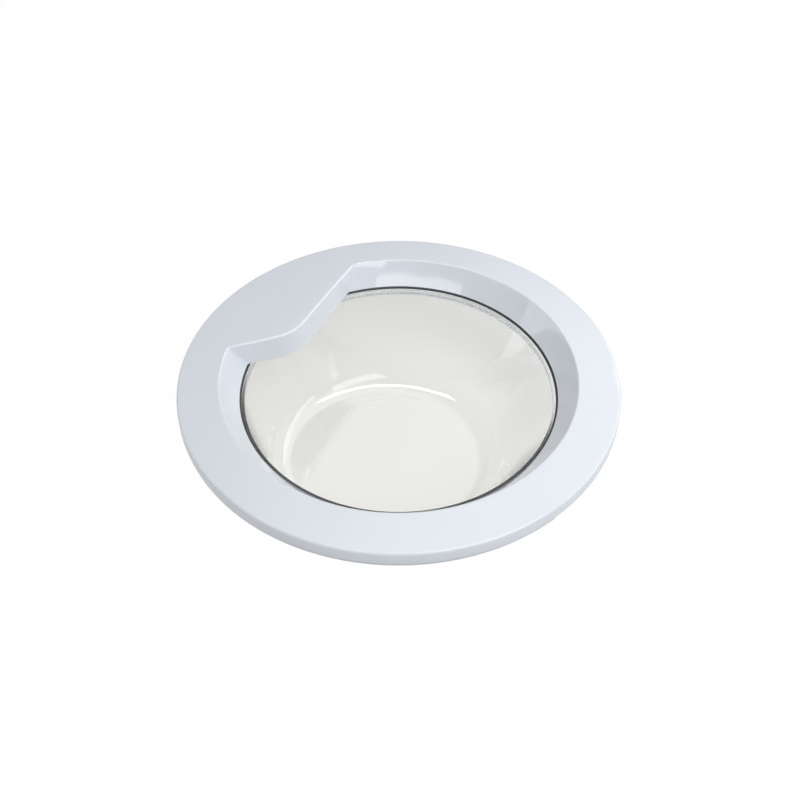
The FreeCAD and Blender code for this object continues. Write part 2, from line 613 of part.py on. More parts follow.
def latch_spring():
    """Torsion spring on the latch pin: close coil, one leg on the hook and one on the back plate."""
    y0 = HOOK_T / 2 + SPRING_SIDE_GAP + SPRING_WIRE_R
    y1 = y0 + SPRING_PITCH * SPRING_TURNS
    coil = spring_coil()
    coil.rotate(V(0, 0, 0), V(1, 0, 0), -90)
    coil.rotate(V(0, 0, 0), V(0, 1, 0), 180)
    coil.translate(V(LATCH_X, y0, LATCH_Z))
    x0 = LATCH_X - SPRING_COIL_R
    rest_x = LATCH_X - HOOK_SHANK_W / 2 - SPRING_WIRE_R - SPRING_TOUCH
    rest_z = LATCH_Z - SPRING_LEG_DROP
    toe = plate_y([(rest_x + u, rest_z + v) for u, v in wire_corners(0)], 0, y0 + SPRING_WIRE_R)
    legs = [spring_leg(x0, y0, V(rest_x - x0, 0, -SPRING_LEG_DROP)), toe,
            spring_leg(LATCH_X + SPRING_COIL_R, y1, V(0, 0, Z_PLATE + SPRING_TOUCH - LATCH_Z))]
    return coil.fuse(legs).removeSplitter()


PIECES = {
    "front_trim": front_trim,
    "rear_frame": rear_frame,
    "glass_bowl": glass_bowl,
    "glass_seal": glass_seal,
    "handle_tray": handle_tray,
    "handle_screws": handle_screws,
    "frame_screws": frame_screws,
    "hinge_bracket": hinge_bracket,
    "hinge_upper_bush": hinge_bush,
    "hinge_lower_bush": lower_hinge_bush,
    "hinge_pin": hinge_pin,
    "hinge_clip": hinge_clip,
    "latch_hook": latch_hook,
    "latch_pin": latch_pin,
    "latch_clip": latch_clip,
    "latch_spring": latch_spring,
}


def main():
    os.makedirs("parts", exist_ok=True)
    for name, make in PIECES.items():
        make().exportStep("parts/" + name + ".step")


if __name__ == "__main__":
    main()
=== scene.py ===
# %% [markdown]
# # A washing machine door
# A glossy white ring with a pull lobe holds a deep bowl of pressed glass. The door lies face up on the
# floor of its bowl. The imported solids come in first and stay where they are: every piece made here sits in
# the same frame, in metres, with +Z out of the door's front, +X to the pull lobe and +Y to the machine's top.

# %% Load the frame
import math

import bmesh
import bpy
from mathutils import Matrix, Vector


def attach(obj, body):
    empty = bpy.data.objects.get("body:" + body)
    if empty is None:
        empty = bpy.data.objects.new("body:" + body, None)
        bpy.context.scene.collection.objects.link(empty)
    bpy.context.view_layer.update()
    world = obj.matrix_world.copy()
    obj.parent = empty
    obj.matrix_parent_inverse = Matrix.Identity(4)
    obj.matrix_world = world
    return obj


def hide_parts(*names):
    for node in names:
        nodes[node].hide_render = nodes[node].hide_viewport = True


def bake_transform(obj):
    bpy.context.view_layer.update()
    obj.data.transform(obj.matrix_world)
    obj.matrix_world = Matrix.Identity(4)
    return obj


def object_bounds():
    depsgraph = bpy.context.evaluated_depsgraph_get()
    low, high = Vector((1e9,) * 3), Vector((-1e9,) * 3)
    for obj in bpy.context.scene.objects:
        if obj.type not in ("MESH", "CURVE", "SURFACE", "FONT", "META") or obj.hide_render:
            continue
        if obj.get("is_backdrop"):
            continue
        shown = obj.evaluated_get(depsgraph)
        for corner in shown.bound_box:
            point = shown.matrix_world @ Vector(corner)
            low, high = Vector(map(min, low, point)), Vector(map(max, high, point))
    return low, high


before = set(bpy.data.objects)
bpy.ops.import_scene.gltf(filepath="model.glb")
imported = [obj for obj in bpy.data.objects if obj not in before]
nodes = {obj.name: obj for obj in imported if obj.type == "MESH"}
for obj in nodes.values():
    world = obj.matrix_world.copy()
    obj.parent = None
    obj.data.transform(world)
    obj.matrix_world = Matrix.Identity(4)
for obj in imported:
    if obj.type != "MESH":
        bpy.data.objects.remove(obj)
solid_low, solid_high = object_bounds()
MM = 0.001
print("solids:", len(nodes), "nodes, box", [round(v, 4) for v in solid_high - solid_low])

# %% [markdown]
# ## Sizes
# The same sizes as the solids have, in millimetres. The ring is measured from its own axis, and the heights
# from the underside of the glass. Only what the new meshes need is repeated. The face and the skirt keep a
# thin skin's distance inside the solid, so that the finer mesh never stands proud of it.

# %% Sizes of the ring, the lobe and the bowl
RIM_R, SKIRT_DRAFT, TRIM_WALL = 203.0, 0.6, 2.8
WINDOW_R, LIP_R = 164.0, 148.3
Z_FLANGE, Z_LIP, Z_WINDOW, Z_RIM, Z_SKIRT = 88.0, 90.5, 112.7, 109.8, 98.0
TOP_R = RIM_R - SKIRT_DRAFT
SKIN = 0.03
SKIRT_R = RIM_R - 2 * SKIN
DOME_Z = (Z_WINDOW + Z_RIM) / 2 - (TOP_R ** 2 - WINDOW_R ** 2) / (2 * (Z_WINDOW - Z_RIM))
DOME_R = math.hypot(WINDOW_R, Z_WINDOW - DOME_Z) - SKIN
LOBE_HALF_ANGLE, LOBE_TIP, LOBE_TIP_ROUND, LOBE_DRAFT = math.radians(31.8), (104.9, 32.3), 42.0, 2.5
RIM_ROUND, EDGE_ROUND, CORNER_ROUND = 2.2, 2.2, 3.0
print("dome radius", round(DOME_R), "mm")

# %% [markdown]
# ## Camera
# A camera is a place, a direction and a lens. These were worked out from the ellipses of the rim and the
# window: about 0.82 m away, 46 degrees above the door's face, with hardly any roll. The picture is square,
# so the lens follows from the angle of view alone.

# %% Camera
EYE = Vector((-407.2, 450.5, 700.2)) * MM
AIM = Vector((-25.24, 26.35, 109.8)) * MM
LENS_MM, SENSOR_MM, ROLL = 41.3, 36.0, math.radians(-0.11)
cam_data = bpy.data.cameras.new("camera")
cam_data.lens = LENS_MM
cam_data.sensor_width = SENSOR_MM
cam_data.clip_start = 0.01
camera = bpy.data.objects.new("camera", cam_data)
bpy.context.scene.collection.objects.link(camera)
turn = (EYE - AIM).to_track_quat("Z", "Y").to_matrix() @ Matrix.Rotation(ROLL, 3, "Z")
camera.matrix_world = Matrix.Translation(EYE) @ turn.to_4x4()
bpy.context.scene.camera = camera
bpy.context.scene.view_settings.view_transform = "Standard"
print("camera", [round(v, 3) for v in EYE])

# %% [markdown]
# ## Node helpers
# Materials and geometry trees are graphs of nodes. A few short helpers keep the wiring readable: they add a
# node with its plain values, join two sockets, do a sum or a mask, and mix two colours or two shaders.

# %% Node helpers
def add(tree, kind, **values):
    """New node of a kind, with properties set by name and inputs set by a leading in_."""
    node = tree.nodes.new(kind)
    for key, value in values.items():
        if key.startswith("in_"):
            node.inputs[key[3:].replace("_", " ")].default_value = value
        else:
            setattr(node, key, value)
    return node


def join(tree, out_socket, in_socket):
    tree.links.new(out_socket, in_socket)


def group_socket(tree, name, kind, out=False, value=None):
    way = "OUTPUT" if out else "INPUT"
    socket = tree.interface.new_socket(name, in_out=way, socket_type="NodeSocket" + kind)
    if value is not None:
        socket.default_value = value


def number(tree, operation, *values):
    """Result of a Math node, whose inputs are plain numbers or sockets."""
    node = add(tree, "ShaderNodeMath", operation=operation)
    for socket, value in zip(node.inputs, values):
        if isinstance(value, float):
            socket.default_value = value
        else:
            join(tree, value, socket)
    return node.outputs["Value"]


def ramp(tree, value, start, end, low=0.0, high=1.0, kind="LINEAR"):
    """Number that goes from low, where the value is at the start, to high at the end."""
    node = add(tree, "ShaderNodeMapRange", interpolation_type=kind, in_From_Min=start, in_From_Max=end,
               in_To_Min=low, in_To_Max=high)
    join(tree, value, node.inputs["Value"])
    return node.outputs["Result"]


def reach_and_height(tree, place):
    """Distance of a place from the axis, and its height."""
    flat = add(tree, "ShaderNodeVectorMath", operation="MULTIPLY")
    flat.inputs[1].default_value = (1, 1, 0)
    reach = add(tree, "ShaderNodeVectorMath", operation="LENGTH")
    parts = add(tree, "ShaderNodeSeparateXYZ")
    join(tree, place, flat.inputs[0])
    join(tree, flat.outputs["Vector"], reach.inputs[0])
    join(tree, place, parts.inputs["Vector"])
    return reach.outputs["Value"], parts.outputs["Z"]


def mix_colours(tree, share, first, second):
    """Colour between two others, which are plain colours or sockets."""
    # The node has sockets of the same name for each type of data, so the colours go by their places.
    node = add(tree, "ShaderNodeMix", data_type="RGBA")
    join(tree, share, node.inputs["Factor"])
    for socket, colour in zip(node.inputs[6:8], (first, second)):
        if isinstance(colour, tuple):
            socket.default_value = (*colour, 1)
        else:
            join(tree, colour, socket)
    return node.outputs[2]


def mix_surface(tree, share, first, second):
    """Surface of a material between two shaders."""
    mix = add(tree, "ShaderNodeMixShader")
    join(tree, share, mix.inputs["Fac"])
    join(tree, first, mix.inputs[1])
    join(tree, second, mix.inputs[2])
    join(tree, mix.outputs["Shader"], tree.nodes["Material Output"].inputs["Surface"])


def start_material(name):
    """New material with its node tree and its Principled shader."""
    mat = bpy.data.materials.new(name)
    mat.use_nodes = True
    return mat, mat.node_tree, mat.node_tree.nodes["Principled BSDF"]


# %% [markdown]
# ## Shared surface effects
# A moulded or cast surface is never quite even. One shader group gives every material three things that
# change over the surface: a fine ripple for the bump, a shade for the colour and a mask of faint smears that
# the roughness follows. Each material places it with its own scales.

# %% Surface group: ripple, shade and smears
EVEN, DRAWN_OUT = (1, 1, 1), (1, 2.2, 0.6)
EFFECTS = (("Ripple", 900.0, 2.0, EVEN), ("Shade", 14.0, 3.0, EVEN), ("Smear", 22.0, 4.0, DRAWN_OUT))
SMEAR_FROM, SMEAR_TO = 0.52, 0.72


def make_surface_group():
    tree = bpy.data.node_groups.new("uneven surface", "ShaderNodeTree")
    for name, scale, _, _ in EFFECTS:
        group_socket(tree, name + " Scale", "Float", value=scale)
        group_socket(tree, name, "Float", out=True)
    inside = add(tree, "NodeGroupInput")
    outside = add(tree, "NodeGroupOutput")
    coord = add(tree, "ShaderNodeTexCoord")
    for name, _, detail, stretch in EFFECTS:
        place = add(tree, "ShaderNodeMapping", in_Scale=stretch)
        noise = add(tree, "ShaderNodeTexNoise", in_Detail=detail, in_Roughness=0.55)
        join(tree, coord.outputs["Object"], place.inputs["Vector"])
        join(tree, place.outputs["Vector"], noise.inputs["Vector"])
        join(tree, inside.outputs[name + " Scale"], noise.inputs["Scale"])
        effect = noise.outputs["Fac"]
        if name == "Smear":
            effect = ramp(tree, effect, SMEAR_FROM, SMEAR_TO)
        join(tree, effect, outside.inputs[name])
    return tree


SURFACE = make_surface_group()
print("group", SURFACE.name)

# %% [markdown]
# ## Finishes
# Each finish is one Principled shader. Its colour swings a little between two shades, its roughness rises
# where the smears are, and the ripple feeds a bump. What is the same all over, such as the index of
# refraction, is set on the shader's own sockets.

# %% Finishes of plastic, rubber and metal
IOR = 1.5
RIPPLE_DEPTH = 0.0002


def place_surface(tree, ripple, shade):
    """The uneven surface's outputs, at a material's own scales."""
    uneven = add(tree, "ShaderNodeGroup", node_tree=SURFACE)
    uneven.inputs["Ripple Scale"].default_value = ripple
    uneven.inputs["Shade Scale"].default_value = shade
    return uneven.outputs


def add_bump(tree, shader, ripple, strength, depth):
    bump = add(tree, "ShaderNodeBump", in_Strength=strength, in_Distance=depth)
    join(tree, ripple, bump.inputs["Height"])
    join(tree, bump.outputs["Normal"], shader.inputs["Normal"])


def make_finish(name, dark, light, rough, smear, ripple, bump, shade=14.0, metal=0.0):
    mat, tree, shader = start_material(name)
    shader.inputs["Metallic"].default_value = metal
    shader.inputs["IOR"].default_value = IOR
    uneven = place_surface(tree, ripple, shade)
    join(tree, mix_colours(tree, uneven["Shade"], dark, light), shader.inputs["Base Color"])
    join(tree, ramp(tree, uneven["Smear"], 0.0, 1.0, rough, rough + smear), shader.inputs["Roughness"])
    add_bump(tree, shader, uneven["Ripple"], bump, RIPPLE_DEPTH)
    return mat


white_gloss = make_finish("white gloss plastic", (0.735, 0.775, 0.83), (0.765, 0.805, 0.86),
                          rough=0.05, smear=0.04, ripple=700.0, bump=0.02)
# This satin white is darker than the trim's white: painted shade for the shade that the frame's band under
# the rim lies in. The tray takes it too.
satin_white_painted_shade = make_finish("satin white plastic with painted shade", (0.60, 0.63, 0.67), (0.66, 0.69, 0.73),
                          rough=0.34, smear=0.10, ripple=1400.0, bump=0.16)
seal_rubber = make_finish("seal rubber", (0.016, 0.017, 0.019), (0.030, 0.031, 0.033),
                          rough=0.55, smear=0.16, ripple=1800.0, bump=0.25, shade=60.0)
zinc_steel = make_finish("zinc plated steel", (0.50, 0.51, 0.52), (0.62, 0.62, 0.61),
                         rough=0.24, smear=0.16, ripple=2400.0, bump=0.12, shade=90.0, metal=1.0)
cast_zinc = make_finish("cast zinc", (0.55, 0.56, 0.57), (0.65, 0.65, 0.66),
                        rough=0.34, smear=0.14, ripple=1100.0, bump=0.35, shade=60.0, metal=1.0)
bush_nylon = make_finish("bush nylon", (0.27, 0.27, 0.28), (0.33, 0.33, 0.34),
                         rough=0.42, smear=0.10, ripple=1500.0, bump=0.15)
print("finishes:", len(bpy.data.materials))

# %% [markdown]
# ## Painted light on the clamped part of the seal
# Only the lip of the seal shows. Where the ring and the glass clamp it, the rubber gets a pale colour and a
# faint glow,
# both painted light: they stand for the light which the glass carries to its own edge, and keep the dark line
# thin.

# %% Painted light where the seal is clamped
CLAMP_FROM, CLAMP_TO = 148.6 * MM, 149.0 * MM
CLAMP_UNDER, CLAMP_BLUR = 88.7 * MM, 0.1 * MM
# Colour and glow of the painted light on the clamped rubber, which is really as dark as the lip.
PAINTED_LIGHT_TONE, PAINTED_LIGHT_GLOW = (0.66, 0.68, 0.70), 0.8


def paint_light_where_clamped(mat):
    """Painted light: pale and faintly glowing outside the lip's radius and under its height."""
    tree = mat.node_tree
    shader = tree.nodes["Principled BSDF"]
    colour = shader.inputs["Base Color"]
    reach, height = reach_and_height(tree, add(tree, "ShaderNodeTexCoord").outputs["Object"])
    beyond = ramp(tree, reach, CLAMP_FROM, CLAMP_TO)
    under = ramp(tree, height, CLAMP_UNDER, CLAMP_UNDER - CLAMP_BLUR)
    clamped = number(tree, "MAXIMUM", beyond, under)
    # The pale colour is painted light, not the rubber's own colour.
    join(tree, mix_colours(tree, clamped, colour.links[0].from_socket, PAINTED_LIGHT_TONE), colour)
    # The glow is painted light as well: the seal is no lamp.
    join(tree, mix_colours(tree, clamped, (0, 0, 0), PAINTED_LIGHT_TONE), shader.inputs["Emission Color"])
    shader.inputs["Emission Strength"].default_value = PAINTED_LIGHT_GLOW


paint_light_where_clamped(seal_rubber)
print("pale outside", round(CLAMP_FROM / MM, 1), "mm")

# %% [markdown]
# ## Glass
# Pressed glass is clear, with a faint warm grey tint and a skin that is not quite flat. A plain glass shader
# casts a dark shadow in a path tracer, so rays that look for light pass straight through, slightly dimmed:
# the mix is steered by the Light Path node. The lip and flange that the ring clamps are ground matt.

# %% Pressed glass
GLASS_DARK, GLASS_LIGHT, GLASS_SHADOW = (0.965, 0.960, 0.930), (0.980, 0.976, 0.950), (0.97, 0.97, 0.96)
GLASS_RIPPLE, GLASS_SHADE, GLASS_BUMP, GLASS_DEPTH = 34.0, 9.0, 0.05, 0.001
POLISHED, SMEARED, GROUND = 0.015, 0.05, 0.45
GROUND_R, GROUND_Z = (143.0 * MM, 144.2 * MM), (84.0 * MM, 85.5 * MM)


def make_glass():
    mat, tree, shader = start_material("pressed glass")
    shader.inputs["Transmission Weight"].default_value = 1.0
    shader.inputs["IOR"].default_value = IOR
    shader.inputs["Specular IOR Level"].default_value = 0.12
    uneven = place_surface(tree, GLASS_RIPPLE, GLASS_SHADE)
    join(tree, mix_colours(tree, uneven["Shade"], GLASS_DARK, GLASS_LIGHT), shader.inputs["Base Color"])
    gloss = ramp(tree, uneven["Smear"], 0.0, 1.0, POLISHED, SMEARED)
    reach, height = reach_and_height(tree, add(tree, "ShaderNodeTexCoord").outputs["Object"])
    lip = number(tree, "MINIMUM", ramp(tree, reach, *GROUND_R), ramp(tree, height, *GROUND_Z))
    matt = ramp(tree, lip, 0.0, 1.0, 0.0, GROUND)
    join(tree, number(tree, "MAXIMUM", gloss, matt), shader.inputs["Roughness"])
    add_bump(tree, shader, uneven["Ripple"], GLASS_BUMP, GLASS_DEPTH)
    clear = add(tree, "ShaderNodeBsdfTransparent", in_Color=(*GLASS_SHADOW, 1))
    path = add(tree, "ShaderNodeLightPath")
    lights = number(tree, "MAXIMUM", path.outputs["Is Shadow Ray"], path.outputs["Is Diffuse Ray"])
    mix_surface(tree, lights, shader.outputs["BSDF"], clear.outputs["BSDF"])
    return mat


pressed_glass = make_glass()
print("glass:", pressed_glass.name)

# %% [markdown]
# ## Making pieces
# A new piece is a mesh linked to the scene at the origin. Its place is in its vertices, so nothing has to be
# moved, and faces that meet at a small angle are shaded as one smooth surface.

# %% Piece helper
def make_piece(name, mesh, mat, sharp_deg=32.0):
    piece = bpy.data.objects.new(name, mesh)
    bpy.context.scene.collection.objects.link(piece)
    mesh.materials.clear()
    mesh.materials.append(mat)
    mesh.shade_smooth()
    mesh.set_sharp_from_angle(angle=math.radians(sharp_deg))
    print(name, len(mesh.polygons), "faces")
    return piece


# %% [markdown]
# ## The window's outline
# The window is a circle that the pull lobe bites into: a long arc, a tight corner, a straight side, the
# rounded tip of the lobe, the other side and the other corner. Moving the outline outwards only changes the
# radii, so one function gives it at any height of the bevel. Each point comes with the direction that leads
# away from the opening.

# %% Window outline
def unit(x, y):
    length = math.hypot(x, y)
    return x / length, y / length


def lobe_frame():
    """Middle of the lobe's tip arc, the directions of its two sides and their normals towards the glass."""
    tip_x, tip_y = LOBE_TIP
    end_x, end_y = WINDOW_R * math.cos(LOBE_HALF_ANGLE), WINDOW_R * math.sin(LOBE_HALF_ANGLE)
    upper, lower = unit(end_x - tip_x, end_y - tip_y), unit(end_x - tip_x, -end_y - tip_y)
    middle = unit(upper[0] + lower[0], upper[1] + lower[1])
    half = math.acos(upper[0] * lower[0] + upper[1] * lower[1]) / 2
    out = LOBE_TIP_ROUND / math.sin(half)
    centre = (tip_x + middle[0] * out, tip_y + middle[1] * out)
    return centre, upper, lower, (-upper[1], upper[0]), (lower[1], -lower[0])


LOBE_CENTRE, UPPER_SIDE, LOWER_SIDE, UPPER_NORMAL, LOWER_NORMAL = lobe_frame()
STEPS = {"arc": 600, "corner": 14, "long": 44, "tip": 32, "short": 26}


def shifted(point, way, distance):
    return point[0] + way[0] * distance, point[1] + way[1] * distance


def corner_centre(r, grow, corner_r, normal, side):
    """Middle of the corner's arc, which touches the circle r and one side of the lobe."""
    start = shifted(LOBE_CENTRE, normal, LOBE_TIP_ROUND + grow + corner_r)
    dot = start[0] * side[0] + start[1] * side[1]
    square = start[0] ** 2 + start[1] ** 2
    return shifted(start, side, -dot + math.sqrt(dot * dot - square + (r - corner_r) ** 2))


def arc_points(cx, cy, r, a0, a1, count, sign):
    """Points on an arc without its end, each with a direction that points from or to the middle."""
    points = []
    for i in range(count):
        a = a0 + (a1 - a0) * i / count
        c, s = math.cos(a), math.sin(a)
        points.append((cx + r * c, cy + r * s, sign * c, sign * s))
    return points


def line_points(p, q, nx, ny, count):
    """Points on a straight side without its end, all with one direction."""
    points = []
    for i in range(count):
        share = i / count
        points.append((p[0] + (q[0] - p[0]) * share, p[1] + (q[1] - p[1]) * share, nx, ny))
    return points


def outline(r, grow, corner_r):
    """Closed outline as (x, y, outward x, outward y), anticlockwise from the upper corner."""
    upper = corner_centre(r, grow, corner_r, UPPER_NORMAL, UPPER_SIDE)
    lower = corner_centre(r, grow, corner_r, LOWER_NORMAL, LOWER_SIDE)
    tip_r = LOBE_TIP_ROUND + grow
    upper_angle, lower_angle = math.atan2(upper[1], upper[0]), math.atan2(lower[1], lower[0])
    upper_turn = math.atan2(UPPER_NORMAL[1], UPPER_NORMAL[0])
    lower_turn = math.atan2(LOWER_NORMAL[1], LOWER_NORMAL[0]) % math.tau
    points = arc_points(0, 0, r, upper_angle, lower_angle + math.tau, STEPS["arc"], 1)
    points += arc_points(*lower, corner_r, lower_angle, lower_turn - math.pi, STEPS["corner"], 1)
    side = shifted(lower, LOWER_NORMAL, -corner_r)
    foot = shifted(LOBE_CENTRE, LOWER_NORMAL, tip_r)
    points += line_points(side, foot, -LOWER_NORMAL[0], -LOWER_NORMAL[1], STEPS["long"])
    points += arc_points(*LOBE_CENTRE, tip_r, lower_turn, upper_turn, STEPS["tip"], -1)
    foot = shifted(LOBE_CENTRE, UPPER_NORMAL, tip_r)
    side = shifted(upper, UPPER_NORMAL, -corner_r)
    points += line_points(foot, side, -UPPER_NORMAL[0], -UPPER_NORMAL[1], STEPS["short"])
    points += arc_points(*upper, corner_r, upper_turn - math.pi, upper_angle, STEPS["corner"], 1)
    return points


print("outline points:", len(outline(WINDOW_R, 0, CORNER_ROUND)))

# %% [markdown]
# ## Front trim
# The trim is one moulding: bevel and lobe wall, a rounded edge, the domed face, a rounded rim and a skirt,
# with an even wall behind. It could be cut from solids, but a glossy face shows every flaw of its mesh, so
# it is laid out as rings of points instead. Every ring has as many points as the outline, from the lip up
# over the face, down the skirt and back inside, and neighbouring rings are joined by quads.

# %% Front trim
BEVEL_ROWS = (0.0, 0.02, 0.35, 0.7)
EDGE_STEPS, FACE_STEPS, RIM_STEPS, SKIRT_STEPS = 7, 12, 9, 4
SKIRT_ROUND, INNER_CHAMFER, BACK_OFFSET = 0.5, 1.0, TRIM_WALL * 1.2


def dome(r, inset=0.0):
    """Height of the domed face at a radius, or of the wall's inner side with an inset."""
    return DOME_Z + math.sqrt((DOME_R - inset) ** 2 - r * r)


def rounded(a, b, c, radius, count):
    """Points of an arc that rounds the corner b between a and c, from its start to its end."""
    into, away = (b - a).normalized(), (c - b).normalized()
    half = into.angle(away) / 2
    back = radius * math.tan(half)
    p, q, w = b - into * back, b + away * back, math.cos(half)
    arc = []
    for i in range(count + 1):
        u = i / count
        k0, k1, k2 = (1 - u) ** 2, 2 * u * (1 - u) * w, u * u
        arc.append((p * k0 + b * k1 + q * k2) / (k0 + k1 + k2))
    return arc


def trim_column(low, top):
    """One section of the trim through a point of the outline: low on the lip, top on the sharp edge."""
    lx, ly, nx, ny = low
    tx, ty, mx, my = top
    z = dome(math.hypot(tx, ty))
    lip, edge = Vector((lx, ly, Z_LIP)), Vector((tx, ty, z))
    ahead = Vector((tx + mx, ty + my, dome(math.hypot(tx + mx, ty + my))))
    column = [lip.lerp(edge, share) for share in BEVEL_ROWS]
    column += rounded(lip, edge, ahead, EDGE_ROUND, EDGE_STEPS)
    start = column[-1]
    r0, angle = math.hypot(start.x, start.y), math.atan2(start.y, start.x)
    c, s = math.cos(angle), math.sin(angle)

    def at(r, height):
        return Vector((r * c, r * s, height))

    inner = RIM_R - TRIM_WALL
    shoulder = at(TOP_R, dome(TOP_R))
    rim = rounded(at(TOP_R - 1, dome(TOP_R - 1)), shoulder, at(SKIRT_R, Z_SKIRT), RIM_ROUND, RIM_STEPS)
    r1 = math.hypot(rim[0].x, rim[0].y)
    for k in range(1, FACE_STEPS):
        r = r0 + (r1 - r0) * k / FACE_STEPS
        column.append(at(r, dome(r)))
    column += rim
    column.append(at((TOP_R + SKIRT_R) / 2, (Z_RIM + Z_SKIRT) / 2))
    column += rounded(shoulder, at(SKIRT_R, Z_SKIRT), at(inner, Z_SKIRT), SKIRT_ROUND, SKIRT_STEPS)
    inner_top = dome(TOP_R, TRIM_WALL)
    column += [at(inner, Z_SKIRT), at(TOP_R - TRIM_WALL, inner_top - INNER_CHAMFER)]
    column.append(at(TOP_R - TRIM_WALL - INNER_CHAMFER, inner_top))
    under = Vector((tx + mx * BACK_OFFSET, ty + my * BACK_OFFSET, 0.0))
    r2 = math.hypot(under.x, under.y)
    column.append(at((inner + r2) / 2, dome((inner + r2) / 2, TRIM_WALL)))
    under.z = dome(r2, TRIM_WALL)
    column += [under, Vector((lx + nx * BACK_OFFSET, ly + ny * BACK_OFFSET, Z_LIP))]
    return column


def face_outwards(mesh, sliver=0.0):
    """Turn all faces outwards, after removing edges shorter than a sliver."""
    solid = bmesh.new()
    solid.from_mesh(mesh)
    if sliver:
        bmesh.ops.dissolve_degenerate(solid, edges=solid.edges, dist=sliver)
    bmesh.ops.recalc_face_normals(solid, faces=solid.faces)
    solid.to_mesh(mesh)
    solid.free()


def rings_to_mesh(name, columns):
    """Closed skin from columns of equal length, joined round both ways."""
    mesh = bpy.data.meshes.new(name)
    tall, wide = len(columns[0]), len(columns)
    points = [p * MM for column in columns for p in column]
    faces = []
    for i in range(wide):
        j = (i + 1) % wide
        for k in range(tall):
            m = (k + 1) % tall
            faces.append((i * tall + k, j * tall + k, j * tall + m, i * tall + m))
    mesh.from_pydata(points, [], faces)
    mesh.validate()
    face_outwards(mesh)
    return mesh


lip_line = outline(LIP_R, LOBE_DRAFT, CORNER_ROUND)
edge_line = outline(WINDOW_R, 0.0, CORNER_ROUND)
trim_columns = [trim_column(low, top) for low, top in zip(lip_line, edge_line)]
trim = make_piece("trim", rings_to_mesh("trim", trim_columns), white_gloss)

# %% [markdown]
# ## What every geometry tree shares
# A geometry tree has named inputs, like a tool with settings. Each one here starts from a base mesh and ends
# with instances made real and a finish set. Two of them begin with a line whose corners are rounded, each by
# its own radius, which the base mesh carries as an attribute.

# %% Shared parts of the trees
SLIVER = 0.000001


def start_tree(name, inputs):
    """Geometry tree with named inputs of (name, kind, value), a finish, and its two end nodes."""
    tree = bpy.data.node_groups.new(name, "GeometryNodeTree")
    tree.is_modifier = True
    group_socket(tree, "Geometry", "Geometry")
    group_socket(tree, "Geometry", "Geometry", out=True)
    for label, kind, value in inputs:
        group_socket(tree, label, kind, value=value)
    group_socket(tree, "Finish", "Material")
    return tree, add(tree, "NodeGroupInput"), add(tree, "NodeGroupOutput")


def end_tree(tree, inside, outside, geometry):
    """Last steps of a tree: instances become real and get the finish."""
    real = add(tree, "GeometryNodeRealizeInstances")
    paint = add(tree, "GeometryNodeSetMaterial")
    join(tree, geometry, real.inputs["Geometry"])
    join(tree, real.outputs["Geometry"], paint.inputs["Geometry"])
    join(tree, inside.outputs["Finish"], paint.inputs["Material"])
    join(tree, paint.outputs["Geometry"], outside.inputs["Geometry"])


def rounded_line(tree, inside, count):
    """The base mesh as a curve with rounded corners of so many points."""
    curve = add(tree, "GeometryNodeMeshToCurve")
    fillet = add(tree, "GeometryNodeFilletCurve", mode="POLY", in_Count=count)
    corner = add(tree, "GeometryNodeInputNamedAttribute", data_type="FLOAT", in_Name="round")
    join(tree, inside.outputs["Geometry"], curve.inputs["Mesh"])
    join(tree, curve.outputs["Curve"], fillet.inputs["Curve"])
    join(tree, corner.outputs["Attribute"], fillet.inputs["Radius"])
    return fillet.outputs["Curve"]


def line_mesh(name, corners):
    """Base mesh of a line through (x, y, z, rounding) corners in millimetres."""
    mesh = bpy.data.meshes.new(name)
    points = [(x * MM, y * MM, z * MM) for x, y, z, _ in corners]
    mesh.from_pydata(points, [(i, i + 1) for i in range(len(points) - 1)], [])
    rounding = mesh.attributes.new("round", "FLOAT", "POINT")
    for i, corner in enumerate(corners):
        rounding.data[i].value = corner[3] * MM
    return mesh


def run_tree(name, mesh, tree, **inputs):
    """Evaluate a geometry tree on a base mesh and keep the result as a plain mesh."""
    base = bpy.data.objects.new(name + " base", mesh)
    bpy.context.scene.collection.objects.link(base)
    modifier = base.modifiers.new("tree", "NODES")
    modifier.node_group = tree
    for item in tree.interface.items_tree:
        key = item.name.replace(" ", "_")
        if item.in_out == "INPUT" and key in inputs:
            modifier[item.identifier] = inputs[key]
    done = base.evaluated_get(bpy.context.evaluated_depsgraph_get())
    result = bpy.data.meshes.new_from_object(done)
    result.name = name
    bpy.data.objects.remove(base)
    face_outwards(result, SLIVER)
    return result


# %% [markdown]
# ## A lathe of nodes
# The glass and the seal are turned shapes: a section goes round the axis. The section is a line of rounded
# corners, and a tree lays a grid whose rows follow it, bends the grid round the axis and leans it. The lean
# pushes the lower part of the bowl aside, because its floor lies nearer the machine's top.

# %% Lathe tree
CORNER_STEPS, WELD_WITHIN = 14, 0.000002


